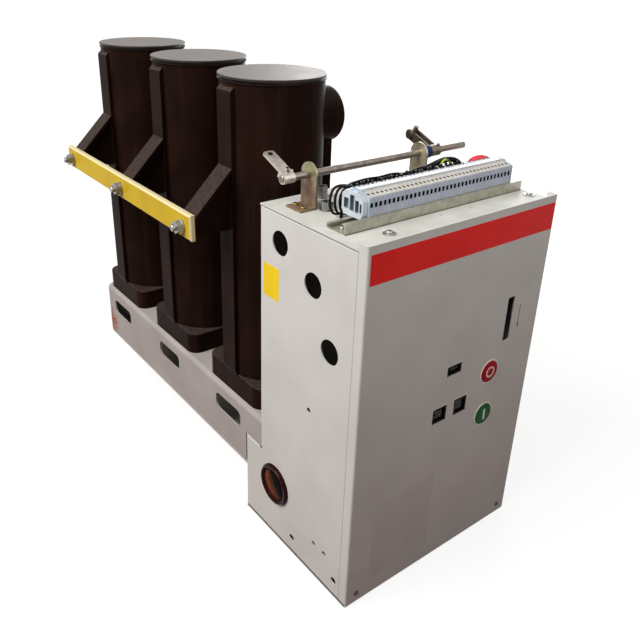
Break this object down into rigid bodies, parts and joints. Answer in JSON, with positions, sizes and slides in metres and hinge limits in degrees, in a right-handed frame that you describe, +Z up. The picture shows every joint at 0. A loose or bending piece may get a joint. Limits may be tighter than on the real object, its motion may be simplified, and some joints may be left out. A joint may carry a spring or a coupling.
{
  "type": "vacuum circuit breaker",
  "caption": "Indoor medium-voltage vacuum circuit breaker: ribbed epoxy poles in a row on a folded base channel, with a spring-mechanism housing at one end.",
  "frame": {"origin": "on the underside of the mounting plate, straight below the middle pole's axis", "axes": "+Z up along the poles, +Y from the front cover back along the row of poles, +X the way the terminals face"},
  "size_m": [0.443, 0.8205, 0.6995],
  "materials": {
    "housing_paint": "light grey powder coat, fine orange peel",
    "channel_paint": "light grey powder coat with scuffs",
    "plate_zinc": "zinc plated sheet, dull",
    "pole_epoxy": "cast epoxy resin, dark brown, semi-gloss",
    "cap_steel": "bare disc, dusty satin",
    "contact_copper": "tinned copper, turned",
    "bar_laminate": "ochre glass-epoxy laminate, sawn edges",
    "bolt_zinc": "bright zinc plated steel",
    "button_red": "red moulded plastic",
    "button_green": "green moulded plastic",
    "guide_plastic": "black moulded plastic",
    "pane_clear": "clear acrylic",
    "indicator_black": "black moulded plastic",
    "plug_brown": "red-brown moulded plug, glossy",
    "shaft_steel": "turned steel bar, dull",
    "lever_zinc": "yellow zinc plated steel",
    "bush_blue": "blue moulded plastic",
    "bracket_zinc": "yellow zinc plated steel with rust",
    "screw_brass": "yellow zinc plated screw",
    "rail_zinc": "yellow zinc plated rail",
    "terminal_grey": "pale blue-grey polyamide",
    "clamp_grey": "pale grey polyamide",
    "mushroom_red": "red moulded plastic, glossy",
    "mushroom_collar": "black moulded plastic",
    "stud_zinc": "bright zinc plated steel",
    "wire_black": "black PVC insulation"
  },
  "bodies": {
    "breaker_frame": {"base_channel": "channel_paint", "mounting_plate": "plate_zinc", "left_side_panel": "housing_paint", "right_side_panel": "housing_paint", "top_plate": "housing_paint", "back_plate": "housing_paint", "bottom_plate": "housing_paint", "front_cover": "housing_paint", "hole_plug": "plug_brown", "tie_bar": "bar_laminate", "tie_bolts": "bolt_zinc", "button_guides": "guide_plastic", "window_panes": "pane_clear", "operation_counter": "indicator_black", "spring_indicator": "indicator_black", "contact_indicator": "indicator_black", "left_bracket": "bracket_zinc", "right_bracket": "bracket_zinc", "bracket_screws": "screw_brass", "terminal_rail": "rail_zinc", "terminal_strip": "terminal_grey", "end_clamps": "clamp_grey", "mushroom_base": "mushroom_collar", "plate_studs": "stud_zinc", "wire_bundle": "wire_black", "pole_1": "pole_epoxy", "pole_cap_1": "cap_steel", "upper_contact_1": "contact_copper", "lower_contact_1": "contact_copper", "pole_2": "pole_epoxy", "pole_cap_2": "cap_steel", "upper_contact_2": "contact_copper", "lower_contact_2": "contact_copper", "pole_3": "pole_epoxy", "pole_cap_3": "cap_steel", "upper_contact_3": "contact_copper", "lower_contact_3": "contact_copper"},
    "interlock": {"interlock_shaft": "shaft_steel", "left_lever": "lever_zinc", "right_lever": "lever_zinc", "shaft_bush": "bush_blue"},
    "opening_button": {"open_button": "button_red"},
    "closing_button": {"close_button": "button_green"},
    "mushroom_head": {"mushroom_button": "mushroom_red"}
  },
  "joints": [
    {"name": "interlock_turn", "type": "hinge", "parent": "breaker_frame", "child": "interlock", "pos_m": [0, -0.354, 0.5055], "axis": [1, 0, 0], "range_deg": [-20, 35]},
    {"name": "open_button_press", "type": "slide", "parent": "breaker_frame", "child": "opening_button", "axis": [0, 1, 0], "range_m": [0, 0.005], "stiffness_N_per_m": 300, "springref_m": -0.003},
    {"name": "close_button_press", "type": "slide", "parent": "breaker_frame", "child": "closing_button", "axis": [0, 1, 0], "range_m": [0, 0.005], "stiffness_N_per_m": 300, "springref_m": -0.003},
    {"name": "mushroom_press", "type": "slide", "parent": "breaker_frame", "child": "mushroom_head", "axis": [0, 0, -1], "range_m": [0, 0.005], "stiffness_N_per_m": 300, "springref_m": -0.005}
  ]
}
